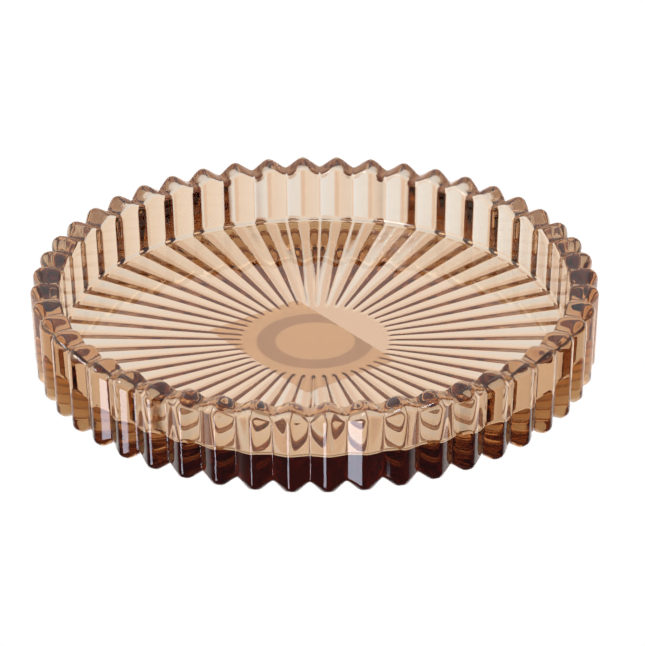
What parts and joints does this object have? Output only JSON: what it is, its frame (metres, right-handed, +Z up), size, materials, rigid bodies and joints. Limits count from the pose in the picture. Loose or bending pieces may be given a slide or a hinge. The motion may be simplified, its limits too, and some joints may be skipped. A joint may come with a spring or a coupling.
{
  "type": "candle plate",
  "caption": "Shallow round pressed-glass candle plate with a smooth level inside and V flutes that run over underside, wall and scalloped rim.",
  "frame": {"origin": "centre of the foot plane that the dish stands on", "axes": "+Z up along the dish's axis; one flute tip points along +X"},
  "size_m": [0.1498, 0.1498, 0.0242],
  "materials": {
    "amber_glass": "fire-polished pressed soda-lime glass, light amber",
    "label_paper": "matt coated label paper, bare apart from one plain printed ring"
  },
  "bodies": {
    "root": {"glass_dish": "amber_glass", "base_label": "label_paper"}
  },
  "joints": []
}
